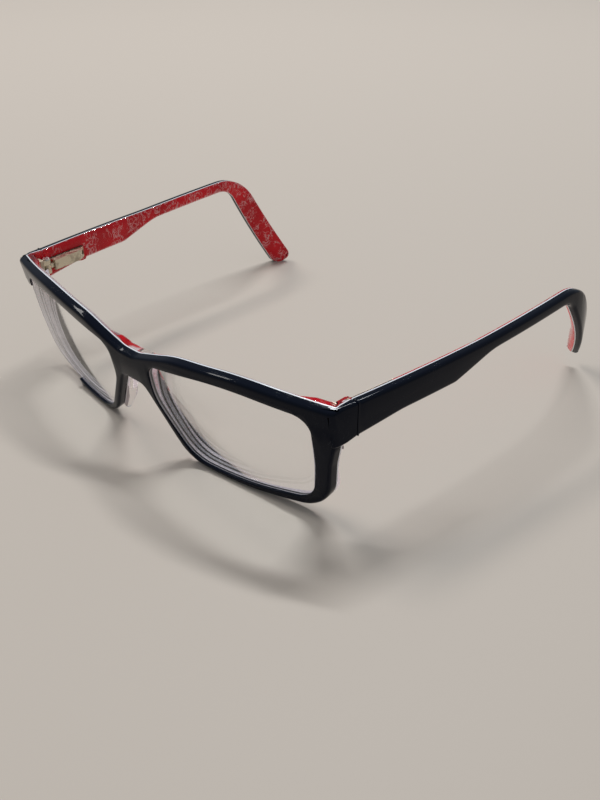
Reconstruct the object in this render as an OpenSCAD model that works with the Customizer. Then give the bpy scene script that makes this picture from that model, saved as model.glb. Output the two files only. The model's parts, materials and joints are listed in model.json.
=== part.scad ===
// Laminated acetate eyeglasses with spring hinges and a snapped right rim.
// Millimetres. +X is the wearer's left, the front faces -Y, +Z is up, and the
// glasses stand on their lower rims and the right temple tip.
// Outlines are lists of corners [across, up, rounding radius].

/* [Eye openings] */
// Width of each opening in the front face
eye_w = 51.6; // [46:0.1:56]
// Height of each opening in the front face
eye_h = 32.8; // [29:0.1:37]
// Distance between the two openings at the bridge
eye_gap = 17.2; // [15:0.1:20]
// How far the top edge drops at the nose corner
brow_drop_nose = 3.6; // [2:0.1:6]
// How far the top edge drops at the temple corner
brow_drop_temple = 2.7; // [1:0.1:5]
// Width of the slanted cut at the lower nose corner
nasal_cut_w = 10.1; // [7:0.1:13]
// Height of the slanted cut at the lower nose corner
nasal_cut_h = 18.3; // [12:0.1:20]
// How far the lower temple corner is drawn in
cheek_in = 2.3; // [1:0.1:4]
// How far the lower temple corner is raised
cheek_up = 2.9; // [1:0.1:5]

/* [Rims] */
// Width of the rim above the opening
rim_top = 3.2; // [2.6:0.1:4.5]
// Width of the rim below the opening
rim_bottom = 1.8; // [1.5:0.1:3]
// Width of the rim on the temple side
rim_side = 3.8; // [3:0.1:5]
// Width of the rim on the nose side
rim_nose = 2.3; // [2.2:0.1:3]
// How far the bridge top lies under the top of the openings
bridge_dip = 3.2; // [2:0.1:6]
// How far the bridge underside lies under its top
bridge_h = 8.8; // [6:0.1:10]
// Width of the gap under the bridge
bridge_gap = 8.8; // [7:0.1:11]

/* [Sheets] */
// Radius of the front's curved face
front_r = 225; // [160:1:320]
// Angle by which the top of the front leans forward
lean = 11.5; // [6:0.5:14]
// Thickness of the black sheet of the front
front_black_t = 2.6; // [2.4:0.05:3.2]
// Thickness of the white line in the front and the temples
white_t = 0.35; // [0.25:0.05:0.6]
// Thickness of the red sheet behind the rims
front_red_t = 1.05; // [0.8:0.05:1.6]
// Depth of the front at the bridge
bridge_depth = 5.6; // [4.8:0.1:7]
// Depth of the front at the end pieces
end_depth = 5.4; // [4.6:0.1:6]
// Rounding of the upright corner where the front turns back to the joint
turn_r = 2.6; // [1.5:0.1:3]
// Depth of the lens groove
groove_d = 0.6; // [0.4:0.05:0.8]
// Width of the lens groove
groove_w = 0.9; // [0.7:0.05:1]
// Distance of the lens groove from the front face
groove_at = 1.4; // [1:0.05:1.5]
// Bulge of the nose pads
pad_r = 2.0; // [1.6:0.1:2.2]

/* [Temples] */
// Distance of the joint's outside from the temple side of the opening
joint_out = 7.7; // [6.8:0.1:9.5]
// Distance of the joint behind the face at the temple side of the opening
joint_back = 2.3; // [1.8:0.1:5.8]
// How far the joint's top edge lies over the top of the openings
joint_over = 1.7; // [0.5:0.1:3]
// Height of the joint
joint_h = 9.7; // [8:0.1:12]
// Gap between the end piece and the temple
joint_gap = 0.25; // [0.2:0.05:0.5]
// Thickness of a temple
temple_t = 4.0; // [3.8:0.1:5]
// Thickness of the black sheet of a temple
temple_black_t = 2.2; // [2:0.05:2.4]
// Length from the joint to the temple tip
temple_len = 113; // [105:0.1:135]
// Length of the part behind the ear bend
drop_len = 24; // [18:0.5:40]
// Length from the joint to the step in the lower edge
step_len = 34.5; // [28:0.1:45]
// Height of the temple at its slim part
slim_h = 3.8; // [3:0.1:6]
// Rise of the top edge from the joint to the bend
top_rise = 2.4; // [0:0.1:4]
// Outward slope of a temple
splay = 0.145; // [0.02:0.01:0.16]
// Inward bowing of a temple
bow = 0.0008; // [0:0.0001:0.001]
// Inward curl of the part behind the bend
curl = 0.0125; // [0:0.0001:0.016]
// Rise of the lower edge from the joint to the step
step_rise = 2.2; // [0:0.1:4]
// Angle by which the ear bend of the left temple has opened
left_open = 12; // [0:0.5:15]

/* [Lenses] */
// Radius of the front surface of a lens
lens_front_r = 250; // [200:1:400]
// Radius of the hollow back surface of a lens
lens_back_r = 76; // [72:1:120]
// Thickness at the optical centre
lens_centre_t = 1.3; // [1.1:0.1:2]
// Distance of the optical centre from the middle of the bridge
lens_centre_x = 31; // [28:0.1:34]
// Height of the optical centre in the front's plane
lens_centre_v = 17.7; // [15:0.1:20]
// How far the lens lies behind the front face
lens_recess = 0.3; // [0.2:0.05:0.5]
// Gap between the lens and the rim
lens_fit = 0.05; // [0.03:0.01:0.1]

/* [Hinges] */
// Radius of the knuckles
knuckle_r = 1.3; // [1.2:0.05:1.35]
// Height of one knuckle
knuckle_h = 1.45; // [1.4:0.05:1.7]
// Gap between two knuckles
knuckle_gap = 0.05; // [0.03:0.01:0.1]
// Distance of the hinge axis inside the temple's inner face
hinge_in = 0.7; // [0.6:0.05:0.8]
// Distance of the hinge axis behind the joint
hinge_back = 0.15; // [0.1:0.05:0.3]
// Radius of the hinge screw
screw_r = 0.6; // [0.5:0.05:0.7]
// Gap around the hinge screw
screw_fit = 0.03; // [0.02:0.01:0.05]
// Height of the spring box
box_h = 3.3; // [3:0.1:4.4]
// Length of the spring box
box_len = 14; // [13.4:0.1:16]
// Inside radius of the spring box
box_bore_r = 0.95; // [0.9:0.05:1]
// Radius of the slider's rod
rod_r = 0.42; // [0.35:0.01:0.45]
// Gap between sliding parts
slide_fit = 0.05; // [0.03:0.01:0.08]
// Travel of the spring
slide_travel = 1.4; // [1:0.1:1.8]

/* [Placement] */
// Distance of the origin behind the bridge
origin_y = 59.49; // [50:0.01:75]
// How far the lowest rim lies under the front's datum
rest_drop = 0.91; // [0:0.01:3]

/* [Hidden] */

black = "#15151a";
white = "#f2f2f0";
red = "#c4161c";
metal = "#c9c0a6";
clear = [0.85, 0.9, 0.95, 0.4];

arc_step = 7;          // largest turn of one straight piece of a rounded corner
arc_chord = 2.5;       // longest straight piece of a rounded corner
surface_fn = 360;      // sides of the large curved faces
small_fn = 48;         // sides of small round parts
reach = 60;            // longer than any cut has to be
LEFT = 1;
RIGHT = -1;

eye_in = eye_gap / 2;
eye_out = eye_in + eye_w;
eye_low = rim_bottom;
eye_top = eye_low + eye_h;
eye_mid = eye_in + eye_w * 27.4 / 51.6;

front_white_at = front_black_t;
front_red_at = front_black_t + white_t;
rim_depth = front_red_at + front_red_t;

temple_white_at = temple_black_t;
temple_red_at = temple_black_t + white_t;

joint_x = eye_out + joint_out;
joint_y = front_r - sqrt(front_r * front_r - eye_out * eye_out) + joint_back;
joint_top = eye_top + joint_over;
joint_bottom = joint_top - joint_h;

hinge_x = joint_x - temple_t - hinge_in;
hinge_y = joint_y + hinge_back;
hinge_z = (joint_top + joint_bottom) / 2;
splay_angle = atan(splay);
knuckle_reach = 1.5 * knuckle_h + knuckle_gap;
relief_r = knuckle_r + 0.2;

box_in = 1.5;                          // spring box inside the hinge axis
box_out = hinge_in + temple_t - temple_red_at - 0.25;  // leaves a skin of red acetate
box_y = 2.2;                           // mouth of the spring box behind the axis
box_mid = (box_out - box_in) / 2;
tongue_end = box_y + slide_travel + 1.4;
sleeve_y = tongue_end + 0.3;
sleeve_len = 1.4;
nut_len = 0.8;
nut_y = box_y + box_len - 0.8 - 1.0 - nut_len - 1.2;
coil_space = box_bore_r - rod_r;
spring_wire_r = coil_space * 13 / 53;
spring_r = rod_r + coil_space * 28 / 53;
spring_turns = 8;
spring_gap = 0.03;

// ---- outlines ----

function xy(p) = [p[0], p[1]];
function unit(a) = a / norm(a);
function toward(c, p) = unit(xy(p) - xy(c));
function half_angle(a, c, b) = acos(toward(c, a) * toward(c, b)) / 2;
function bisector(a, c, b) = unit(toward(c, a) + toward(c, b));

function corner_points(a, c, b) =
    let (
        half = half_angle(a, c, b),
        r = c[2],
        mid = xy(c) + bisector(a, c, b) * r / sin(half),
        start = xy(c) + toward(c, a) * r / tan(half),
        from = atan2(start[1] - mid[1], start[0] - mid[0]),
        turn = 180 - 2 * half,
        way = sign(cross(xy(c) - xy(a), xy(b) - xy(c))),
        n = max(1, ceil(turn / arc_step), ceil(r * turn * PI / 180 / arc_chord))
    )
    r == 0 ? [xy(c)]
    : [for (i = [0:n]) mid + r * [cos(from + way * turn * i / n), sin(from + way * turn * i / n)]];

function rounded(p) =
    let (n = len(p))
    [for (i = [0:n - 1]) each corner_points(p[(i + n - 1) % n], p[i], p[(i + 1) % n])];

// Corners of a convex outline moved outward by d, with their roundings
function grown(p, d) =
    let (n = len(p))
    [for (i = [0:n - 1])
        let (a = p[(i + n - 1) % n], c = p[i], b = p[(i + 1) % n])
        concat(xy(c) - bisector(a, c, b) * d / sin(half_angle(a, c, b)), c[2] + d)];

function mirrored(p) = [for (i = [len(p) - 1:-1:0]) [-p[i][0], p[i][1], p[i][2]]];

eye_corners = [
    [eye_in, eye_top - brow_drop_nose, 4.5],
    [eye_mid, eye_top, 80],
    [eye_out, eye_top - brow_drop_temple, 5],
    [eye_out, eye_low + 16, 60],
    [eye_out - cheek_in, eye_low + cheek_up, 7],
    [eye_mid, eye_low, 100],
    [eye_in + nasal_cut_w, eye_low + 0.9, 10],
    [eye_in + 0.1, eye_low + nasal_cut_h, 12]];

// Unit vector square to the slanted nose side of the opening, towards the nose
nose_side = unit([-(nasal_cut_h - 0.9), -(nasal_cut_w - 0.1)]);
nose_low = [eye_in + nasal_cut_w, eye_low + 0.9] + nose_side * rim_nose;
nose_high = [eye_in + 0.1, eye_low + nasal_cut_h] + nose_side * rim_nose;
bridge_top = eye_top - bridge_dip;
end_top = eye_top + 0.5;

half_front_corners = [
    [3, bridge_top, 8],
    [eye_in + 10.4, eye_top + rim_top - 1.4, 30],
    [eye_in + 31.4, eye_top + rim_top, 80],
    [eye_out + 6.4, end_top, 0],
    [eye_out + 5.4, eye_low + 21.4, 6],
    [eye_out + rim_side, eye_low + 15.4, 12],
    [eye_out - cheek_in + rim_side, eye_low + 0.3, 10],
    [eye_mid, 0, 120],
    [nose_low[0], nose_low[1], 11],
    [nose_high[0] - 0.6, nose_high[1] + 1.2, 8],
    [bridge_gap / 2, bridge_top - bridge_h, 2.5]];
front_corners = concat(half_front_corners, mirrored(half_front_corners));

// ---- the front ----

module in_place() translate([0, -origin_y, 0]) children();

// The front's own plane: x across, y into the depth, z up the leaning front
module in_front_plane() translate([0, 0, -rest_drop]) rotate([lean, 0, 0]) children();

module through(points)
    translate([0, reach, 0]) rotate([90, 0, 0]) linear_extrude(2 * reach) polygon(points);

// Everything deeper than d behind the curved face
module deeper(d)
    translate([0, front_r, -reach]) cylinder(r = front_r - d, h = 3 * reach, $fn = surface_fn);

module between(from, to)
    difference() {
        deeper(from);
        deeper(to);
    }

module eye_cut(side) mirror([side < 0 ? 1 : 0, 0, 0]) {
    through(rounded(eye_corners));
    intersection() {
        through(rounded(grown(eye_corners, groove_d)));
        between(groove_at, groove_at + groove_w);
    }
}

// The part of the right rim that has snapped off, from the side of the opening and its lower
// edge. Each sheet tore along its own line.
function rim_tear(low) =
    let (high = [[19.8, 26.2], [6.1, 25.8], [4.4, 27.1], [2.6, 25.6], [1, 26.6], [-3.2, 25.2],
                 [-10.2, 16.2], [-18.2, 7.2]])
    [for (p = concat(high, low, [[19.8, -6.8]])) [eye_out + p[0], eye_low + p[1]]];
tear_black = rim_tear([[-21.6, 2.6], [-19.8, 0.8], [-21.1, -0.6], [-19, -3.8]]);
tear_white = rim_tear([[-20.6, 2.6], [-18.7, 0.7], [-20, -0.6], [-18, -3.8]]);
tear_red = rim_tear([[-20.4, 2.6], [-18.8, 1.1], [-14.2, 0.4], [-9.2, 0.3], [-5.2, 0.65], [-2.7, -3.8]]);
tear_depth = 5.2;

module snapped_off(tear) difference() {
    mirror([1, 0, 0]) through(tear);
    deeper(tear_depth);
}

// Block at the outer end of the front that turns back to the joint
module end_piece() {
    plan = [[joint_x - temple_t, -5], [joint_x - 1.9, -5], [joint_x - 1.7, 1], [joint_x, joint_y],
            [joint_x - temple_t, joint_y]];
    slope = 2.8 / (joint_y - 1.8);
    profile = [[-5, joint_bottom - slope * (joint_y + 5)], [joint_y, joint_bottom],
               [joint_y, joint_top], [-5, joint_top]];
    intersection() {
        linear_extrude(reach) polygon(plan);
        rotate([90, 0, 90]) linear_extrude(2 * reach) polygon(profile);
    }
}

// Outside of the rounding at the outer upright corner of the front, seen along the front's plane
turn_out = 6.75;       // from the temple side of the opening to the outside of the rounding
turn_ease = 18;        // angle at which the rounding runs out into the side of the end piece
turn_steps = 8;
turn_clear = 8;        // how far the cut reaches past what it cuts

module turn_cut() {
    side = eye_out + turn_out;
    mid = [side - turn_r, front_r - sqrt(pow(front_r - turn_r, 2) - pow(side - turn_r, 2))];
    from = atan2(mid[1] - front_r, mid[0]);
    arc = [for (i = [0:turn_steps]) let (a = from - (turn_ease + from) * i / turn_steps)
        mid + turn_r * [cos(a), sin(a)]];
    run_out = arc[turn_steps] + turn_clear * [sin(turn_ease), cos(turn_ease)];
    outside = [run_out, [side + turn_clear, run_out[1]], [side + turn_clear, -1], [arc[0][0], -1]];
    for (m = [0, 1]) mirror([m, 0, 0]) linear_extrude(reach) polygon(concat(arc, outside));
}

// Both end pieces behind the given depth, level with the top of the front
module both_end_pieces(depth) intersection() {
    union() {
        end_piece();
        mirror([1, 0, 0]) end_piece();
    }
    in_front_plane() intersection() {
        deeper(depth);
        translate([-2 * reach, -reach, -reach]) cube([4 * reach, 3 * reach, reach + end_top]);
    }
}

module inside_x(x) translate([-x, -reach, -reach]) cube([2 * x, 3 * reach, 3 * reach]);

module front_layer(from, to) in_front_plane() intersection() {
    through(rounded(front_corners));
    between(from, to);
}

module front_cuts(tear) in_front_plane() {
    eye_cut(LEFT);
    eye_cut(RIGHT);
    snapped_off(tear);
    turn_cut();
}

module front_black_sheet() color(black) in_place() difference() {
    union() {
        front_layer(0, front_black_t);
        difference() {
            both_end_pieces(0);
            intersection() {
                inside_x(joint_x - temple_black_t);
                in_front_plane() deeper(front_black_t);
            }
        }
    }
    front_cuts(tear_black);
}

module front_white_line() color(white) in_place() difference() {
    intersection() {
        union() {
            front_layer(front_white_at, front_red_at);
            difference() {
                both_end_pieces(front_white_at);
                inside_x(joint_x - temple_red_at);
            }
        }
        inside_x(joint_x - temple_white_at);
    }
    front_cuts(tear_white);
}

// Extra depth behind the bridge and behind the end pieces, seen from above
module deep_parts() {
    bridge = [[-11, rim_depth], [-6.5, bridge_depth - 0.3], [0, bridge_depth],
              [6.5, bridge_depth - 0.3], [11, rim_depth], [11, 0], [-11, 0]];
    end = [for (x = [eye_out - 5, eye_out - 0.7, eye_out + 2, eye_out + 6])
            [x, x * x / (2 * front_r) + (x < eye_out - 2 ? rim_depth - 0.1 : end_depth)]];
    translate([0, 0, bridge_top - bridge_h - 2]) linear_extrude(reach) polygon(bridge);
    for (m = [0, 1]) mirror([m, 0, 0])
        translate([0, 0, eye_low + 22.5]) linear_extrude(reach)
            polygon(concat(end, [[eye_out + 6, 0], [eye_out - 5, 0]]));
}

module nose_pad() {
    spots = [[0.12, 1.2], [0.5, pad_r], [0.92, 1.2]];
    hull() for (s = spots) {
        p = nose_low + (nose_high - nose_low) * s[0];
        translate([p[0], rim_depth + s[1] * 0.45, p[1]]) sphere(r = s[1], $fn = 32);
    }
}

module front_red_sheet() color(red) in_place() difference() {
    intersection() {
        union() {
            front_layer(front_red_at, rim_depth);
            in_front_plane() intersection() {
                through(rounded(front_corners));
                deeper(front_red_at);
                deep_parts();
            }
            both_end_pieces(front_red_at);
            in_front_plane() intersection() {
                union() {
                    nose_pad();
                    mirror([1, 0, 0]) nose_pad();
                }
                deeper(front_red_at);
            }
        }
        inside_x(joint_x - temple_red_at);
    }
    front_cuts(tear_red);
    for (side = [LEFT, RIGHT]) on_side(side) at_hinge() {
        plate_seat();
        hinge_relief();
    }
}

// ---- lenses ----

module lens_blank() {
    turn = asin(lens_centre_x / front_r);
    front_at = lens_recess - front_r;
    translate([0, front_r, 0]) rotate([0, 0, turn]) difference() {
        translate([0, front_at + lens_front_r, lens_centre_v]) sphere(r = lens_front_r, $fn = surface_fn);
        translate([0, front_at + lens_centre_t + lens_back_r, lens_centre_v])
            sphere(r = lens_back_r, $fn = surface_fn);
    }
}

module lens(side) color(clear) in_place() in_front_plane() mirror([side < 0 ? 1 : 0, 0, 0])
    intersection() {
        lens_blank();
        translate([0, 20, 0]) rotate([90, 0, 0]) linear_extrude(reach)
            polygon(rounded(grown(eye_corners, groove_d)));
        union() {
            through(rounded(grown(eye_corners, -lens_fit)));
            intersection() {
                through(rounded(grown(eye_corners, groove_d - lens_fit)));
                between(groove_at + lens_fit, groove_at + groove_w - lens_fit);
            }
        }
    }

// ---- placing what belongs to one side ----

module on_side(side) mirror([side < 0 ? 1 : 0, 0, 0]) children();

module at_hinge() translate([hinge_x, hinge_y, hinge_z]) children();

// The same place, turned to run along the temple
module along_temple() at_hinge() rotate([0, 0, -splay_angle]) children();

module hinge_relief()
    translate([0, 0, -knuckle_reach - 0.7])
        cylinder(r = relief_r, h = 2 * knuckle_reach + 1.6, $fn = small_fn);

// ---- temples ----

temple_end = joint_y + temple_len;
bend_y = temple_end - drop_len;
step_y = joint_y + step_len;
joint_face = joint_y + joint_gap;
bend_top = joint_top + top_rise;
band_steps = 42;

function outside_x(y) =
    let (s = y - joint_y, c = max(0, y - bend_y))
    joint_x + splay * s - bow * s * s - curl * c * c;

function ear_bend(p, open) =
    let (d = [p[0] - bend_y, p[1] - bend_top + slim_h])
    [bend_y + d[0] * cos(open) - d[1] * sin(open),
     bend_top - slim_h + d[0] * sin(open) + d[1] * cos(open), p[2]];

function temple_corners(open) = [
    [joint_face, joint_bottom, 0.6],
    [joint_y + 15, joint_bottom + step_rise - 0.4, 40],
    [step_y, joint_bottom + step_rise, 5],
    [step_y + 14.5, joint_top + 0.7 - slim_h, 25],
    [bend_y - 2.5, bend_top - slim_h, 9],
    ear_bend([temple_end - 6, -1, 3.2], open),
    ear_bend([temple_end, 2, 3], open),
    [bend_y + 3.5, bend_top + 0.1, 18],
    [joint_y + 45, joint_top + 0.6, 200],
    [joint_face, joint_top, 0.6]];

module temple_sheet(side, from, to) {
    ys = [for (i = [0:band_steps]) joint_y + (temple_len + 2) * i / band_steps];
    intersection() {
        translate([0, 0, -10]) linear_extrude(reach) polygon(concat(
            [for (y = ys) [outside_x(y) - from, y]],
            [for (i = [band_steps:-1:0]) [outside_x(ys[i]) - to, ys[i]]]));
        rotate([90, 0, 90]) linear_extrude(2 * reach)
            polygon(rounded(temple_corners(side > 0 ? left_open : 0)));
    }
}

module temple_black(side) color(black) in_place() on_side(side)
    temple_sheet(side, 0, temple_white_at);

module temple_white(side) color(white) in_place() on_side(side)
    temple_sheet(side, temple_white_at, temple_red_at);

module temple_red(side) color(red) in_place() on_side(side) difference() {
    temple_sheet(side, temple_red_at, temple_t);
    along_temple() {
        box_shape();
        tongue_slot();
    }
    at_hinge() hinge_relief();
}

// ---- hinges ----

plate_front = -3.55;
plate_back = -2.35;
plate_in = -2.5;
plate_out = hinge_in - 0.05;
plate_h = 6.4;
seat_fit = 0.02;

module plate_seat()
    translate([plate_in - seat_fit, plate_front - seat_fit, -plate_h / 2 - seat_fit])
        cube([plate_out - plate_in + 2 * seat_fit, reach, plate_h + 2 * seat_fit]);

module knuckle(z)
    translate([0, 0, z]) cylinder(r = knuckle_r, h = knuckle_h, $fn = small_fn);

module screw_hole()
    translate([0, 0, -5]) cylinder(r = screw_r + screw_fit, h = 10, $fn = small_fn);

module hinge_plate(side) color(metal) in_place() on_side(side) at_hinge() difference() {
    union() {
        translate([plate_in, plate_front, -plate_h / 2])
            cube([plate_out - plate_in, plate_back - plate_front, plate_h]);
        for (z = [-knuckle_reach, knuckle_h / 2 + knuckle_gap]) {
            knuckle(z);
            translate([-knuckle_r, plate_back - 0.1, z])
                cube([knuckle_r + hinge_in - 0.1, 0.1 - plate_back, knuckle_h]);
        }
    }
    screw_hole();
}

module hinge_screw(side) color(metal) in_place() on_side(side) at_hinge() {
    translate([0, 0, -knuckle_reach]) cylinder(r = screw_r, h = 2 * knuckle_reach + 0.1, $fn = small_fn);
    difference() {
        translate([0, 0, knuckle_reach]) cylinder(r = 1.05, h = 0.5, $fn = small_fn);
        translate([-2, -0.12, knuckle_reach + 0.22]) cube([4, 0.24, 1]);
    }
}

// Outside of the spring box, without its slot and bore
module box_shape() translate([0, 0, -box_h / 2]) linear_extrude(box_h) polygon(rounded([
    [-box_in, box_y, 0.3], [box_out, box_y, 0],
    [box_out, box_y + box_len, 0], [0.4, box_y + box_len, 1.4],
    [-box_in, box_y + box_len - 3.4, 3]]));

module rod(r, y, length)
    translate([box_mid, y, 0]) rotate([-90, 0, 0]) cylinder(r = r, h = length, $fn = small_fn);

tongue_in = 0.9;
tongue_out = box_out - 0.6;
tongue_h = knuckle_h - 0.1;

module tongue_slot()
    translate([-tongue_in - slide_fit, 0, -tongue_h / 2 - slide_fit])
        cube([tongue_in + tongue_out + 2 * slide_fit, sleeve_y - 0.1, tongue_h + 2 * slide_fit]);

module spring_box(side) color(metal) in_place() on_side(side) along_temple() difference() {
    box_shape();
    tongue_slot();
    rod(box_bore_r, sleeve_y - 0.1, box_y + box_len - 0.8 - sleeve_y + 0.1);
}

module slider(side) color(metal) in_place() on_side(side) along_temple() difference() {
    union() {
        knuckle(-knuckle_h / 2);
        translate([-tongue_in, 0, -tongue_h / 2])
            cube([tongue_in + tongue_out, tongue_end, tongue_h]);
        rod(rod_r, tongue_end - 0.1, nut_y + nut_len - tongue_end + 0.1);
    }
    screw_hole();
}

module spring_sleeve(side) color(metal) in_place() on_side(side) along_temple() difference() {
    rod(box_bore_r - 0.01, sleeve_y, sleeve_len);
    rod(rod_r + slide_fit, sleeve_y - 1, sleeve_len + 2);
}

module stop_nut(side) color(metal) in_place() on_side(side) along_temple() difference() {
    rod(box_bore_r - 0.1, nut_y, nut_len);
    rod(rod_r + 0.01, nut_y - 1, nut_len + 2);
}

module spring(side) {
    from = sleeve_y + sleeve_len + spring_gap + spring_wire_r;
    to = nut_y - spring_gap - spring_wire_r;
    per_turn = 14;
    sides = 6;
    rings = spring_turns * per_turn;
    points = [for (i = [0:rings]) for (k = [0:sides - 1])
        let (turn = 360 * i / per_turn, round = 360 * k / sides, r = spring_r + spring_wire_r * cos(round))
        [r * cos(turn), from + (to - from) * i / rings + spring_wire_r * sin(round), r * sin(turn)]];
    walls = [for (i = [0:rings - 1]) for (k = [0:sides - 1])
        let (a = i * sides + k, b = i * sides + (k + 1) % sides)
        [a, b, b + sides, a + sides]];
    ends = [[for (k = [sides - 1:-1:0]) k], [for (k = [0:sides - 1]) rings * sides + k]];
    color(metal) in_place() on_side(side) along_temple() translate([box_mid, 0, 0])
        polyhedron(points, concat(walls, ends));
}

front_black_sheet();
front_white_line();
front_red_sheet();
lens(LEFT);  // left_lens
lens(RIGHT);  // right_lens
temple_black(LEFT);  // left_temple_black
temple_white(LEFT);  // left_temple_white_line
temple_red(LEFT);  // left_temple_red
temple_black(RIGHT);  // right_temple_black
temple_white(RIGHT);  // right_temple_white_line
temple_red(RIGHT);  // right_temple_red
hinge_plate(LEFT);  // left_hinge_plate
hinge_screw(LEFT);  // left_hinge_screw
spring_box(LEFT);  // left_spring_box
slider(LEFT);  // left_slider
spring_sleeve(LEFT);  // left_spring_sleeve
spring(LEFT);  // left_spring
stop_nut(LEFT);  // left_stop_nut
hinge_plate(RIGHT);  // right_hinge_plate
hinge_screw(RIGHT);  // right_hinge_screw
spring_box(RIGHT);  // right_spring_box
slider(RIGHT);  // right_slider
spring_sleeve(RIGHT);  // right_spring_sleeve
spring(RIGHT);  // right_spring
stop_nut(RIGHT);  // right_stop_nut
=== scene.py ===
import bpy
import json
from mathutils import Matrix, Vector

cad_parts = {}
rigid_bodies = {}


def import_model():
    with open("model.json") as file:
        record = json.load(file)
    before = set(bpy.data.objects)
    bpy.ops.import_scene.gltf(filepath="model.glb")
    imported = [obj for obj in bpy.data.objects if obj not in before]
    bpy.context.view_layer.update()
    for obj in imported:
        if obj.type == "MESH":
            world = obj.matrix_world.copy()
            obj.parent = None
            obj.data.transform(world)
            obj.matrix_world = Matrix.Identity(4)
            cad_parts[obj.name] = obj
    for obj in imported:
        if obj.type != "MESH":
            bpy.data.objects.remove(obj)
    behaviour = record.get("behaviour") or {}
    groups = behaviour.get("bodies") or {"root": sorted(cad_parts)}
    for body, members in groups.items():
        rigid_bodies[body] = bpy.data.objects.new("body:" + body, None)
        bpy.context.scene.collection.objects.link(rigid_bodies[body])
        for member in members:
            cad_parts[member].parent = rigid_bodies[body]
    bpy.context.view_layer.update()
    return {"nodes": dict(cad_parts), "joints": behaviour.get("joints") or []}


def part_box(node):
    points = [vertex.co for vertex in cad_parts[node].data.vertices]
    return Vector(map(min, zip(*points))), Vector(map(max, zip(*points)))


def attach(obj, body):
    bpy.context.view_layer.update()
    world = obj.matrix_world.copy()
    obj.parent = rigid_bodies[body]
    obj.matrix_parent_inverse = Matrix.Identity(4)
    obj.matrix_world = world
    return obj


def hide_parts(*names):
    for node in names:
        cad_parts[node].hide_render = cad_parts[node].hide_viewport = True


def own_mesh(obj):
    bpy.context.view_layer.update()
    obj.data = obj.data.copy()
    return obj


bl_info = {
    "name": "Broken Eyeglasses",
    "version": (1, 0, 0),
    "blender": (4, 5, 0),
    "location": "View3D > Sidebar > Eyeglasses",
    "description": "Finishes acetate eyeglasses with a snapped rim and sets them on a pale table",
    "category": "Object",
}

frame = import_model()

import json
from math import cos, hypot, radians, sin

import bmesh
import bpy
from bpy.props import FloatProperty, FloatVectorProperty, PointerProperty
from bpy.types import Operator, Panel, PropertyGroup
from mathutils import Matrix, Vector
from mathutils.bvhtree import BVHTree

SIDES = {"left": 1, "right": -1}
NODES = frame["nodes"]

# The front's own plane, as the part's sizes have it. Lengths are in metres, and places on the
# front are across it from the middle, up its leaning plane and in depth behind its curved face.
LEAN = radians(11.5)
FACE_RADIUS = 0.225
BRIDGE_BACK = 0.05949       # how far in front of the origin the face is at the bridge
REST_DROP = 0.00091         # how far the glasses are let down to stand on the floor
AHEAD = Vector((0, -cos(LEAN), -sin(LEAN)))
EYE_CENTRE = Vector((0.0344, 0.018))
OPENING_ACROSS = (0.007, 0.0608)    # the edges of an opening are within these
OPENING_UP = (0.0015, 0.0350)
GROOVE = (0.0014, 0.0024)   # front and back of the lens groove, in depth
OPTICAL_CENTRE = (0.031, 0.0177)
HOLLOW_RADIUS = 0.0135      # within this, a lens's hollow back is in front of the groove's back
FILM_DEPTH = 0.00295        # the printed film of the front
FILM_ACROSS = 0.06535       # the printed film at the outside of the end pieces
FILM_SET_IN = 0.00003       # keeps the film clear of the white sheet
REAR_DEPTH = 0.0037         # the back of the inner sheet is deeper than this
END_ACROSS = 0.0640         # the end pieces' outer corners are further out than this

# The two ends of the snapped rim, beside the wearer's right lens
TORN_SIDE = 0.0595          # the upper one is further out than this
TORN_SIDE_UP = (0.0268, 0.0290)
TORN_BOTTOM = (0.0380, 0.0430)
TORN_BOTTOM_UP = 0.0046     # the lower one is not as high as this

# The hinges
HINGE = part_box("left_hinge_screw")
HINGE_Z = (HINGE[0].z + HINGE[1].z) / 2
JOINT_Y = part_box("front_black_sheet")[1].y
JOINT_CLEAR = 0.0002        # the front's edges are left sharp this close to the joint
TEMPLE_CLEAR = 0.0006       # and the temples' this close
PLATE_ACROSS = 0.058        # the hinge plate is further out than this
PLATE_HALF = 0.0036         # half the height kept free of rounding round the plate
BOX_HALF = 0.0035           # half the height kept free of rounding round the spring box
BOX_END = 0.018             # how far behind the joint the spring box reaches
SPRING_SLACK = 0.00003      # how much more than its travel a spring gives

# Working with meshes
WELD = 1e-6
STRAY = 5e-6                # how far a rounding may stand out of its piece
SHARP = radians(35)         # the least angle of an edge that is rounded
FLAT = 0.32                 # profile of a rounding that is nearly a flat
ON_FACE = 0.0003            # an edge of the face is less deep than this
ON_FILM = 0.00006           # how near the film's own depth its faces lie
ON_END_FILM = 0.00003       # and how near its outer place at the end pieces

# Which way a face looks, as the cosine between its normal and that way
FACING = 0.8                # ahead, at the least
WALL = 0.6                  # a wall looks less than this ahead or back
ALONG_AXIS = 0.7            # along one of the frame's axes, at the least
UPRIGHT = 0.9               # level, at the least, so that the face is upright
INWARD = 0.5                # towards the middle, at the most

# Where the film of the front fades, from rose to full red
RED_BRIDGE = (0.019, 0.014)
RED_BRIDGE_HEIGHT = (0.0205, 0.0225)
RED_END = (0.052, 0.057)
RED_END_HEIGHT = (0.024, 0.028)
RED_TEMPLE = 0.0003         # the length of the fade in front of the joint
PRINT_STARTS = (0.014, 0.032)    # behind the joint, where the squiggles grow dense

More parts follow.
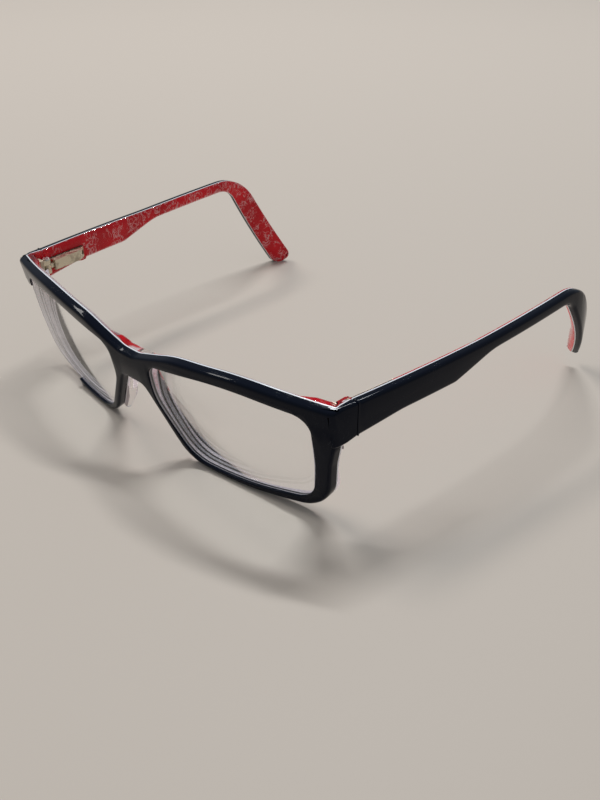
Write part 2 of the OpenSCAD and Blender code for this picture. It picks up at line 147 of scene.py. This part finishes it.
# Colours of wear and dirt, of the painted shade on the lens edges in the groove, and of what a
# user has no need to change
SCRATCHED = (0.16, 0.17, 0.19)
STAINED = (0.62, 0.6, 0.6)
ROSE = (0.84, 0.74, 0.75)
CLEAR_SHEET = (0.96, 0.93, 0.93)
CLEAR_GLASS = (0.985, 0.99, 0.99)
BEHIND_GLASS = (0.93, 0.94, 0.94)
FROSTED = ((0.55, 0.51, 0.55), (0.76, 0.72, 0.77))
BEHIND_FROSTED = (0.6, 0.6, 0.62)
# Painted shade: the near-black of a lens edge where it sits in the dark groove of the rim
GROOVE_SHADE = (0.03, 0.03, 0.035)
PLATING_GRIME = (0.3, 0.24, 0.16)
STEEL, STEEL_GRIME = (0.7, 0.7, 0.69), (0.4, 0.39, 0.38)

# The light of the room, with the lamps' places, their sizes across and up, and their watts
ROOM, ROOM_STRENGTH = (0.84, 0.92, 1.0), 0.32
LAMPS = {
    "ceiling_lamp": ((-0.5, 0.9, 1.6), (0.9, 0.08), 19, (0.93, 0.97, 1.0)),
    "window_lamp": ((-1.2, -0.2, 1.5), (0.9, 0.3), 11, (1.0, 0.98, 0.96)),
}
TABLE_SIZE = 8.0


# ---- shader sockets written as sums ----


class Sock:
    """A socket that adds its own Math nodes when it is used in a sum."""

    def __init__(self, tree, value):
        self.tree, self.value = tree, value

    def _math(self, operation, *values):
        node = self.tree.nodes.new("ShaderNodeMath")
        node.operation = operation
        for slot, value in zip(node.inputs, values):
            plug(self.tree, slot, value)
        return Sock(self.tree, node.outputs[0])

    def __add__(self, other): return self._math("ADD", self, other)
    def __radd__(self, other): return self._math("ADD", other, self)
    def __sub__(self, other): return self._math("SUBTRACT", self, other)
    def __rsub__(self, other): return self._math("SUBTRACT", other, self)
    def __mul__(self, other): return self._math("MULTIPLY", self, other)
    def __rmul__(self, other): return self._math("MULTIPLY", other, self)
    def __pow__(self, other): return self._math("POWER", self, other)
    def __abs__(self): return self._math("ABSOLUTE", self)
    def high(self, other): return self._math("MAXIMUM", self, other)


def plug(tree, slot, value):
    """Links a socket to the slot, or sets the slot to a plain value."""
    value = value.value if isinstance(value, Sock) else value
    if isinstance(value, bpy.types.NodeSocket):
        tree.links.new(value, slot)
    else:
        slot.default_value = value


class Finish:
    """A material under construction: one method adds every node but the Math nodes."""

    def __init__(self, name):
        self.material = bpy.data.materials.new(name)
        self.material.use_nodes = True
        self.tree = self.material.node_tree
        self.tree.nodes.clear()
        self.place = self.add("TexCoord", out="Object")
        self.end = self.tree.nodes.new("ShaderNodeOutputMaterial")

    def add(self, kind, settings=None, out=0, **sockets):
        """Adds a node. A socket is named with _ for a space, or as _3 by its number."""
        node = self.tree.nodes.new("ShaderNode" + kind)
        for key, value in (settings or {}).items():
            setattr(node, key, value)
        for key, value in sockets.items():
            name = int(key[1:]) if key[0] == "_" else key.replace("_", " ")
            plug(self.tree, node.inputs[name], value)
        return Sock(self.tree, node.outputs[out])

    def noise(self, scale, detail, rough=0.5, warp=0.0, at=None):
        return self.add("TexNoise", Vector=at or self.place, Scale=scale, Detail=detail,
                        Roughness=rough, Distortion=warp)

    def axis(self, letter):
        return self.add("SeparateXYZ", out=letter, Vector=self.place)

    def mapped(self, **sockets):
        return self.add("Mapping", out="Vector", Vector=self.place, **sockets)

    def ramp(self, value, low, high):
        """0 at low, 1 at high, smooth between them and flat past them. Low may be the greater."""
        return self.add("MapRange", {"interpolation_type": "SMOOTHSTEP"}, Value=value,
                        From_Min=low, From_Max=high)

    def blend(self, factor, first, second):
        """The first colour where the factor is 0, and the second where it is 1."""
        return self.add("Mix", {"data_type": "RGBA"}, out=2, _0=factor, _6=first, _7=second)

    def bump(self, height, strength, distance):
        return self.add("Bump", Strength=strength, Distance=distance, Height=height)

    def finish(self, surface):
        plug(self.tree, self.end.inputs["Surface"], surface)
        return self.material


def rgb(tone):
    return (tone[0], tone[1], tone[2], 1.0)


# ---- sizes and colours that a user may change ----


class GlassesFinish(PropertyGroup):
    black: FloatVectorProperty(
        name="Black acetate", description="Colour of the outer sheet",
        default=(0.004, 0.006, 0.013), min=0, max=1, size=3, subtype="COLOR")
    white: FloatVectorProperty(
        name="White line", description="Colour of the thin sheet in the middle",
        default=(0.86, 0.87, 0.9), min=0, max=1, size=3, subtype="COLOR")
    red: FloatVectorProperty(
        name="Red film", description="Colour of the film under the clear sheet",
        default=(0.80, 0.004, 0.016), min=0, max=1, size=3, subtype="COLOR")
    squiggle: FloatVectorProperty(
        name="Squiggles", description="Colour of the printed squiggles",
        default=(0.9, 0.5, 0.5), min=0, max=1, size=3, subtype="COLOR")
    plating: FloatVectorProperty(
        name="Plating", description="Colour of the hinges",
        default=(0.66, 0.6, 0.47), min=0, max=1, size=3, subtype="COLOR")
    rim_round: FloatProperty(
        name="Rim rounding", description="Rounding of the front's outer edges",
        default=0.0009, min=0.0001, max=0.001, subtype="DISTANCE", unit="LENGTH")
    eye_round: FloatProperty(
        name="Opening rounding", description="Rounding of the edges round the lenses",
        default=0.0004, min=0.0001, max=0.0006, subtype="DISTANCE", unit="LENGTH")
    temple_round: FloatProperty(
        name="Temple rounding", description="Rounding of the temples' edges",
        default=0.0011, min=0.0001, max=0.0012, subtype="DISTANCE", unit="LENGTH")
    lens_index: FloatProperty(
        name="Lens index", description="Refractive index of the lenses",
        default=1.5, min=1.4, max=1.8)


class GlassesStage(PropertyGroup):
    eye: FloatVectorProperty(
        name="Camera", description="Place of the camera",
        default=(0.181146, -0.186877, 0.145094), size=3, subtype="TRANSLATION", unit="LENGTH")
    yaw: FloatProperty(
        name="Yaw", description="Turn of the camera from +Y towards +X",
        default=-0.763174, subtype="ANGLE", unit="ROTATION")
    pitch: FloatProperty(
        name="Pitch", description="Angle of the camera under the horizon",
        default=0.546093, subtype="ANGLE", unit="ROTATION")
    roll: FloatProperty(
        name="Roll", description="Turn of the camera about its view",
        default=0.005391, subtype="ANGLE", unit="ROTATION")
    focus: FloatProperty(
        name="Lens", description="Focal length for a 36 mm sensor, in mm",
        default=40.569, min=10, max=120)
    table: FloatVectorProperty(
        name="Table", description="Colour of the table top",
        default=(0.57, 0.492, 0.42), min=0, max=1, size=3, subtype="COLOR")


# ---- helpers for building ----


def deselect():
    if bpy.context.mode != "OBJECT":
        bpy.ops.object.mode_set(mode="OBJECT")
    bpy.ops.object.select_all(action="DESELECT")


def dress(names, material):
    for name in names:
        mesh = NODES[name].data
        mesh.materials.clear()
        mesh.materials.append(material)


def copied(node, name):
    """A welded copy of a CAD node with its flat triangles joined, left in edit mode with
    nothing selected."""
    deselect()
    NODES[node].select_set(True)
    bpy.context.view_layer.objects.active = NODES[node]
    bpy.ops.object.duplicate()
    piece = bpy.context.object
    piece.name = piece.data.name = name
    for key in [key for key in piece.keys() if key.startswith("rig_")]:
        del piece[key]
    bpy.ops.object.parent_clear(type="CLEAR_KEEP_TRANSFORM")
    piece.data.materials.clear()
    bpy.ops.mesh.customdata_custom_splitnormals_clear()
    bpy.ops.object.mode_set(mode="EDIT")
    bpy.ops.mesh.select_mode(type="EDGE")
    bpy.ops.mesh.select_all(action="SELECT")
    bpy.ops.mesh.remove_doubles(threshold=WELD)
    bpy.ops.mesh.dissolve_limited(angle_limit=radians(0.2))
    bpy.ops.mesh.select_all(action="DESELECT")
    return piece


def round_edges(piece, size, steps, wanted, profile=0.5):
    """Bevels the outward edges of the piece in edit mode for which wanted(edge) says yes.
    A corner that the bevel pushes out of the piece goes back to its surface."""
    mesh = bmesh.from_edit_mesh(piece.data)
    before = BVHTree.FromBMesh(mesh)
    bpy.ops.mesh.select_all(action="DESELECT")
    for edge in mesh.edges:
        outward = edge.is_manifold and edge.is_convex
        if outward and edge.calc_face_angle() > SHARP and wanted(edge):
            edge.select_set(True)
    bmesh.update_edit_mesh(piece.data)
    if not any(edge.select for edge in mesh.edges):
        raise RuntimeError(piece.name + " has no edge to round")
    bpy.ops.mesh.bevel(offset=size, segments=steps, profile=profile, affect="EDGES",
                       clamp_overlap=False, material=-1)
    mesh = bmesh.from_edit_mesh(piece.data)
    for vert in mesh.verts:
        nearest, outward, _, away = before.find_nearest(vert.co)
        if away > STRAY and (vert.co - nearest).dot(outward) > 0:
            vert.co = nearest
    bmesh.update_edit_mesh(piece.data)


def split_finish(piece, materials, second):
    """Gives the piece two materials, the second on the faces for which second(face) says yes."""
    for material in materials:
        piece.data.materials.append(material)
    mesh = bmesh.from_edit_mesh(piece.data)
    bpy.ops.mesh.select_mode(type="FACE")
    bpy.ops.mesh.select_all(action="DESELECT")
    for face in mesh.faces:
        face.select_set(second(face))
    bmesh.update_edit_mesh(piece.data)
    piece.active_material_index = 1
    bpy.ops.object.material_slot_assign()


def done(piece, node, body, material=None):
    """Leaves edit mode, smooths the piece and lets it stand for its CAD node."""
    bpy.ops.object.mode_set(mode="OBJECT")
    bpy.ops.object.shade_smooth_by_angle(angle=radians(32))
    if material:
        piece.data.materials.append(material)
    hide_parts(node)
    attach(piece, body)


def set_in_film():
    """Draws in the faces that are still selected, which are those of the film."""
    bpy.ops.transform.shrink_fatten(value=-FILM_SET_IN)


def middle(edge):
    return (edge.verts[0].co + edge.verts[1].co) / 2


def in_front_plane(point):
    """Place of a point on the front: across, up the leaning plane, and behind the curved face."""
    y, z = point.y + BRIDGE_BACK, point.z + REST_DROP
    back, up = y * cos(LEAN) + z * sin(LEAN), z * cos(LEAN) - y * sin(LEAN)
    return point.x, up, FACE_RADIUS - hypot(point.x, back - FACE_RADIUS)


def towards_side(across):
    return 1 if across > 0 else -1


def within(span, value):
    return span[0] < value < span[1]


def at_break(across, up):
    """True beside the two ends of the snapped rim."""
    side = across < -TORN_SIDE and within(TORN_SIDE_UP, up)
    bottom = within(TORN_BOTTOM, -across) and up < TORN_BOTTOM_UP
    return side or bottom


def round_opening(edge):
    """True on the rounded corners of the eye openings, where the wall looks at the lens."""
    across, up, _ = in_front_plane(middle(edge))
    inward = Vector((EYE_CENTRE.x * towards_side(across) - across, EYE_CENTRE.y - up))
    wall = min((face.normal for face in edge.link_faces), key=lambda way: abs(way.dot(AHEAD)))
    return (within(OPENING_ACROSS, abs(across)) and within(OPENING_UP, up)
            and wall.x * inward.x + wall.z * inward.y > 0)


def lamp(name, at, size, power, tone):
    """An area lamp that is aimed at the origin and isn't seen through the clear parts."""
    deselect()
    bpy.ops.object.light_add(type="AREA", location=at)
    made = bpy.context.object
    made.name = name
    made.rotation_euler = (-Vector(at)).to_track_quat("-Z", "Y").to_euler()
    made.data.shape = "RECTANGLE"
    made.data.size, made.data.size_y = size
    made.data.energy, made.data.color = power, tone
    made.visible_transmission = False


# ---- finishes ----


def hairlines(make, rub):
    """Fine broken scratches from polishing and handling, 1 in a scratch. A greater rub packs
    them closer from front to back."""
    line = make.noise(220, 1, at=make.mapped(Rotation=(0.3, 0.5, 0.2), Scale=(1, rub, 1)))
    broken = make.ramp(make.noise(130, 2), 0.52, 0.6)
    return make.ramp(abs(line - 0.5), 0.006, 0.0) * broken


def black_acetate(look):
    make = Finish("black_acetate")
    cloud, scratch = make.noise(60, 3), hairlines(make, 14)
    dust = make.ramp(make.noise(1500, 1), 0.74, 0.8) * make.ramp(make.noise(45, 2), 0.5, 0.7)
    tone = make.blend(scratch * 0.15 + dust * 0.2, rgb(look.black), rgb(SCRATCHED))
    rough = make.ramp(cloud, 0.35, 0.75) * 0.03 + scratch * 0.12 + dust * 0.3 + 0.035
    height = make.noise(12, 1) * 0.3 - scratch * 0.03 + make.noise(400, 2) * 0.003
    return make.finish(make.add("BsdfPrincipled", Base_Color=tone, Roughness=rough, IOR=1.2,
                                Normal=make.bump(height, 0.3, 0.0004)))


def white_acetate(look):
    make = Finish("white_acetate")
    stain = make.ramp(make.noise(120, 3), 0.45, 0.75)
    tone = make.blend(stain * 0.35, rgb(look.white), rgb(STAINED))
    return make.finish(make.add("BsdfPrincipled", Base_Color=tone, IOR=1.48,
                                Roughness=stain * 0.15 + 0.18,
                                Normal=make.bump(make.noise(900, 2), 0.1, 0.0002)))


def red_print(look):
    """The film under the clear sheet: red with pale squiggles, and faded to rose round the
    lenses."""
    make = Finish("red_print")
    across, behind, height = abs(make.axis("X")), make.axis("Y"), make.axis("Z")
    at_bridge = make.ramp(across, *RED_BRIDGE) * make.ramp(height, *RED_BRIDGE_HEIGHT)
    at_end = make.ramp(across, *RED_END) * make.ramp(height, *RED_END_HEIGHT)
    full = at_bridge.high(at_end).high(make.ramp(behind, JOINT_Y - RED_TEMPLE, JOINT_Y))

    first = abs(make.noise(330, 1.5, 0.6, 0.9) - 0.5)
    second = abs(make.noise(300, 1.5, 0.55, 1.4, at=make.mapped(Location=(0.7, 0.3, 0.5))) - 0.47)
    stroke = make.ramp(first, 0.028, 0.010).high(make.ramp(second, 0.022, 0.008))
    busy = make.ramp(behind, JOINT_Y + PRINT_STARTS[0], JOINT_Y + PRINT_STARTS[1]) * 0.13
    broken = make.ramp(make.noise(260, 2) + busy, 0.55, 0.62)

    shade = make.ramp(make.noise(70, 3), 0.35, 0.7)
    deep = (look.red[0] * 0.75, look.red[1], look.red[2] * 0.8)
    tone = make.blend(stroke * broken * 0.7, make.blend(shade, rgb(look.red), rgb(deep)),
                      rgb(look.squiggle))
    return make.finish(make.add("BsdfPrincipled", Base_Color=make.blend(full, rgb(ROSE), tone),
                                Roughness=shade * 0.1 + 0.4, IOR=1.2))


def clear_acetate():
    """The inner sheet: clear, faintly rose, with a polish that handling has dulled in places."""
    make = Finish("clear_acetate")
    scratch = hairlines(make, 10)
    rough = make.ramp(make.noise(70, 3), 0.4, 0.8) * 0.04 + scratch * 0.12 + 0.02
    height = make.noise(45, 2) * 0.5 - scratch * 0.05
    sheet = make.add("BsdfPrincipled", Base_Color=rgb(CLEAR_SHEET), Roughness=rough, IOR=1.3,
                     Transmission_Weight=1.0, Normal=make.bump(height, 0.2, 0.0003))
    return let_light_by(make, sheet, CLEAR_SHEET)


def let_light_by(make, surface, tint):
    """The surface as the eye sees it, and plain tinted air to the light that passes through it."""
    path = make.add("LightPath", out="Is Shadow Ray").high(
        make.add("LightPath", out="Is Diffuse Ray"))
    air = make.add("BsdfTransparent", Color=rgb(tint))
    return make.finish(make.add("MixShader", _0=path, _1=surface, _2=air))


def depth_behind(make):
    """How far a point lies behind the curved face of the front."""
    along, y, z = make.axis("X"), make.axis("Y") + BRIDGE_BACK, make.axis("Z") + REST_DROP
    back = y * cos(LEAN) + z * sin(LEAN) - FACE_RADIUS
    return FACE_RADIUS - (along * along + back * back) ** 0.5


def clear_lens(look):
    make = Finish("clear_lens")
    smear = make.ramp(make.noise(55, 4), 0.58, 0.72)
    glass = make.add("BsdfPrincipled", Base_Color=rgb(CLEAR_GLASS), Roughness=smear * 0.02,
                     IOR=look.lens_index, Transmission_Weight=1.0)
    return let_light_by(make, glass, BEHIND_GLASS)


def ground_edge():
    """The frosted rim of a lens, darkened with painted shade along the ridge that sits in the
    groove, where the black rim keeps the light off."""
    make = Finish("ground_edge")
    grit, depth = make.noise(1400, 2), depth_behind(make)
    # Painted shade: the band of the ground edge inside the rim's groove is darkened nearly to
    # black
    groove_shade = (make.ramp(depth, GROOVE[0] - 0.0001, GROOVE[0])
              * make.ramp(depth, GROOVE[1] + 0.0001, GROOVE[1]))
    pale = make.blend(make.ramp(grit, 0.3, 0.7), rgb(FROSTED[0]), rgb(FROSTED[1]))
    tone = make.blend(groove_shade * 0.86, pale, rgb(GROOVE_SHADE))
    frosted = make.add("MixShader", _0=0.5, _1=make.add("BsdfDiffuse", Color=tone),
                       _2=make.add("BsdfTranslucent", Color=tone))
    return let_light_by(make, frosted, BEHIND_FROSTED)


def metal(name, colour, grime, rough):
    """Satin metal brushed lengthwise, with grime in patches."""
    make = Finish(name)
    brushed = make.noise(900, 2, at=make.mapped(Scale=(1, 0.12, 1)))
    patch = make.ramp(make.noise(420, 3), 0.48, 0.68)
    tone = make.blend(patch * 0.5, rgb(colour), rgb(grime))
    satin = make.ramp(brushed, 0.3, 0.8) * 0.16 + patch * 0.15 + rough
    return make.finish(make.add("BsdfPrincipled", Base_Color=tone, Metallic=1.0 - patch * 0.25,
                                Roughness=satin, Normal=make.bump(brushed, 0.25, 0.0001)))


# ---- operators ----


class OBJECT_OT_glasses_front(Operator):
    """Rounds the outer and inner sheets of the front, and finishes all three"""
    bl_idname = "object.glasses_front"
    bl_label = "Front sheets"

    def execute(self, context):
        look = context.scene.glasses_finish

        def outer(edge):
            """The outline and the openings of the face, and the end pieces' outer corners."""
            across, up, depth = in_front_plane(middle(edge))
            normals = [face.normal for face in edge.link_faces]
            on_face = depth < ON_FACE and max(normal.dot(AHEAD) for normal in normals) > FACING
            on_end = (abs(across) > END_ACROSS
                      and max(abs(normal.z) for normal in normals) > ALONG_AXIS
                      and max(hypot(normal.x, normal.y) for normal in normals) > UPRIGHT
                      and min(normal.x * towards_side(across) for normal in normals) > -INWARD)
            open_air = middle(edge).y < JOINT_Y - JOINT_CLEAR and not at_break(across, up)
            return open_air and (on_face or on_end)

        black = copied("front_black_sheet", "front_black_polished")
        round_edges(black, look.rim_round, 4,
                    lambda edge: outer(edge) and not round_opening(edge))
        round_edges(black, look.eye_round, 3, lambda edge: outer(edge) and round_opening(edge))
        done(black, "front_black_sheet", "front", black_acetate(look))

        dress(["front_white_line"], white_acetate(look))

        def on_film(face):
            across, _, depth = in_front_plane(face.calc_center_median())
            on_face = abs(depth - FILM_DEPTH) < ON_FILM and face.normal.dot(AHEAD) > FACING
            on_end = (abs(abs(across) - FILM_ACROSS) < ON_END_FILM
                      and face.normal.x * towards_side(across) > UPRIGHT)
            return on_face or on_end

        def rear(edge):
            """The edges of the back, but for those at the joints, the break and the plates."""
            across, up, depth = in_front_plane(middle(edge))
            at_plate = abs(across) > PLATE_ACROSS and abs(middle(edge).z - HINGE_Z) < PLATE_HALF
            return (depth > REAR_DEPTH
                    and min(face.normal.dot(AHEAD) for face in edge.link_faces) < -WALL
                    and middle(edge).y < JOINT_Y - JOINT_CLEAR
                    and not at_break(across, up) and not at_plate)

        inner = copied("front_red_sheet", "front_clear_over_red")
        round_edges(inner, look.rim_round, 3,
                    lambda edge: rear(edge) and not round_opening(edge), FLAT)
        round_edges(inner, look.eye_round, 2,
                    lambda edge: rear(edge) and round_opening(edge), FLAT)
        split_finish(inner, (clear_acetate(), red_print(look)), on_film)
        set_in_film()
        done(inner, "front_red_sheet", "front")
        return {"FINISHED"}


class OBJECT_OT_glasses_temples(Operator):
    """Rounds the outer and inner sheets of both temples, and finishes all three"""
    bl_idname = "object.glasses_temples"
    bl_label = "Temples"

    def execute(self, context):
        look = context.scene.glasses_finish
        black, white = black_acetate(look), white_acetate(look)
        clear, film = clear_acetate(), red_print(look)
        for side, sign in SIDES.items():
            body = side + "_temple"

            def along(edge, way):
                """The edges of the flank that looks out for way 1, or in for way -1."""
                flank = max(face.normal.x * sign * way for face in edge.link_faces)
                return flank > ALONG_AXIS and middle(edge).y > JOINT_Y + TEMPLE_CLEAR

            def off_box(edge):
                place = middle(edge)
                return abs(place.z - HINGE_Z) > BOX_HALF or place.y > JOINT_Y + BOX_END

            outside = copied(side + "_temple_black", side + "_temple_black_polished")
            round_edges(outside, look.temple_round, 4, lambda edge: along(edge, 1))
            done(outside, side + "_temple_black", body, black)
            dress([side + "_temple_white_line"], white)
            inside = copied(side + "_temple_red", side + "_temple_clear_over_red")
            round_edges(inside, look.temple_round, 4,
                        lambda edge: along(edge, -1) and off_box(edge), FLAT)
            split_finish(inside, (clear, film), lambda face: face.normal.x * sign > ALONG_AXIS)
            set_in_film()
            done(inside, side + "_temple_red", body)
        return {"FINISHED"}


class OBJECT_OT_glasses_lenses(Operator):
    """Makes the lenses clear, with a ground edge"""
    bl_idname = "object.glasses_lenses"
    bl_label = "Lenses"

    def execute(self, context):
        look = context.scene.glasses_finish
        clear, ground = clear_lens(look), ground_edge()

        def on_edge(face):
            across, up, depth = in_front_plane(face.calc_center_median())
            off_centre = hypot(abs(across) - OPTICAL_CENTRE[0], up - OPTICAL_CENTRE[1])
            in_groove = within(GROOVE, depth) and off_centre > HOLLOW_RADIUS
            return in_groove or abs(face.normal.dot(AHEAD)) < WALL

        for side in SIDES:
            lens = copied(side + "_lens", side + "_lens_polished")
            split_finish(lens, (clear, ground), on_edge)
            done(lens, side + "_lens", "front")
        return {"FINISHED"}


class OBJECT_OT_glasses_hinges(Operator):
    """Gives the hinges their metal, and hangs a smoothed copy of each coil spring, with a mesh of
    its own, on its temple
    """
    bl_idname = "object.glasses_hinges"
    bl_label = "Hinges"

    def execute(self, context):
        look = context.scene.glasses_finish
        plated = metal("hinge_metal", look.plating, PLATING_GRIME, 0.24)
        steel = metal("screw_steel", STEEL, STEEL_GRIME, 0.2)
        joints = {joint["name"]: joint for joint in frame["joints"]}
        for side in SIDES:
            dress([side + "_hinge_plate", side + "_spring_box", side + "_slider"], plated)
            dress([side + "_hinge_screw", side + "_spring_sleeve", side + "_stop_nut"], steel)
            coil = copied(side + "_spring", side + "_spring_steel")
            done(coil, side + "_spring", side + "_temple", steel)
            give = joints[side + "_temple_spring_back"]
            low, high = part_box(side + "_spring")
            length = (high.y - low.y) / give["axis"][1]
            1 - (give["range_m"][1] + SPRING_SLACK) / length
            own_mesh(coil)
        return {"FINISHED"}


class OBJECT_OT_glasses_stage(Operator):
    """Sets the table, the light and the camera"""
    bl_idname = "object.glasses_stage"
    bl_label = "Table, light and camera"

    def execute(self, context):
        stage = context.scene.glasses_stage
        deselect()
        bpy.ops.mesh.primitive_plane_add(size=TABLE_SIZE, location=(0, 0, 0))
        floor = context.object
        floor.name = "table_top"
        make = Finish("table_top")
        matt = make.add("BsdfPrincipled", Base_Color=rgb(stage.table), Roughness=0.6)
        floor.data.materials.append(make.finish(matt))

        world = bpy.data.worlds.new("room_light")
        context.scene.world = world
        world.use_nodes = True
        back = world.node_tree.nodes["Background"]
        back.inputs["Color"].default_value = rgb(ROOM)
        back.inputs["Strength"].default_value = ROOM_STRENGTH
        for name, settings in LAMPS.items():
            lamp(name, *settings)

        yaw, pitch, roll = stage.yaw, stage.pitch, stage.roll
        ahead = Vector((sin(yaw) * cos(pitch), cos(yaw) * cos(pitch), -sin(pitch)))
        across = ahead.cross(Vector((0, 0, 1))).normalized()
        above = across.cross(ahead)
        right = cos(roll) * across + sin(roll) * above
        up = cos(roll) * above - sin(roll) * across
        turn = Matrix((right, up, -ahead)).transposed().to_4x4()
        deselect()
        bpy.ops.object.camera_add(location=stage.eye, rotation=turn.to_euler())
        camera = context.object
        camera.data.sensor_width = 36.0
        camera.data.lens = stage.focus
        camera.data.clip_start = 0.01
        context.scene.camera = camera
        context.scene.view_settings.view_transform = "Standard"
        return {"FINISHED"}


class VIEW3D_PT_glasses(Panel):
    """Lists what makes up the eyeglasses"""
    bl_idname = "VIEW3D_PT_glasses"
    bl_label = "Broken Eyeglasses"
    bl_space_type = "VIEW_3D"
    bl_region_type = "UI"
    bl_category = "Eyeglasses"

    def draw(self, context):
        for group in (context.scene.glasses_finish, context.scene.glasses_stage):
            box = self.layout.box()
            for name in group.bl_rna.properties.keys():
                if name not in ("rna_type", "name"):
                    box.prop(group, name)
        for made in OPERATORS:
            self.layout.operator(made.bl_idname)


OPERATORS = (
    OBJECT_OT_glasses_front,
    OBJECT_OT_glasses_temples,
    OBJECT_OT_glasses_lenses,
    OBJECT_OT_glasses_hinges,
    OBJECT_OT_glasses_stage,
)
CLASSES = (GlassesFinish, GlassesStage) + OPERATORS + (VIEW3D_PT_glasses,)


def register():
    for made in CLASSES:
        bpy.utils.register_class(made)
    bpy.types.Scene.glasses_finish = PointerProperty(type=GlassesFinish)
    bpy.types.Scene.glasses_stage = PointerProperty(type=GlassesStage)


def unregister():
    del bpy.types.Scene.glasses_stage
    del bpy.types.Scene.glasses_finish
    for made in reversed(CLASSES):
        bpy.utils.unregister_class(made)


def main():
    register()
    bpy.ops.object.glasses_front()
    bpy.ops.object.glasses_temples()
    bpy.ops.object.glasses_lenses()
    bpy.ops.object.glasses_hinges()
    bpy.ops.object.glasses_stage()


if __name__ == "__main__":
    main()
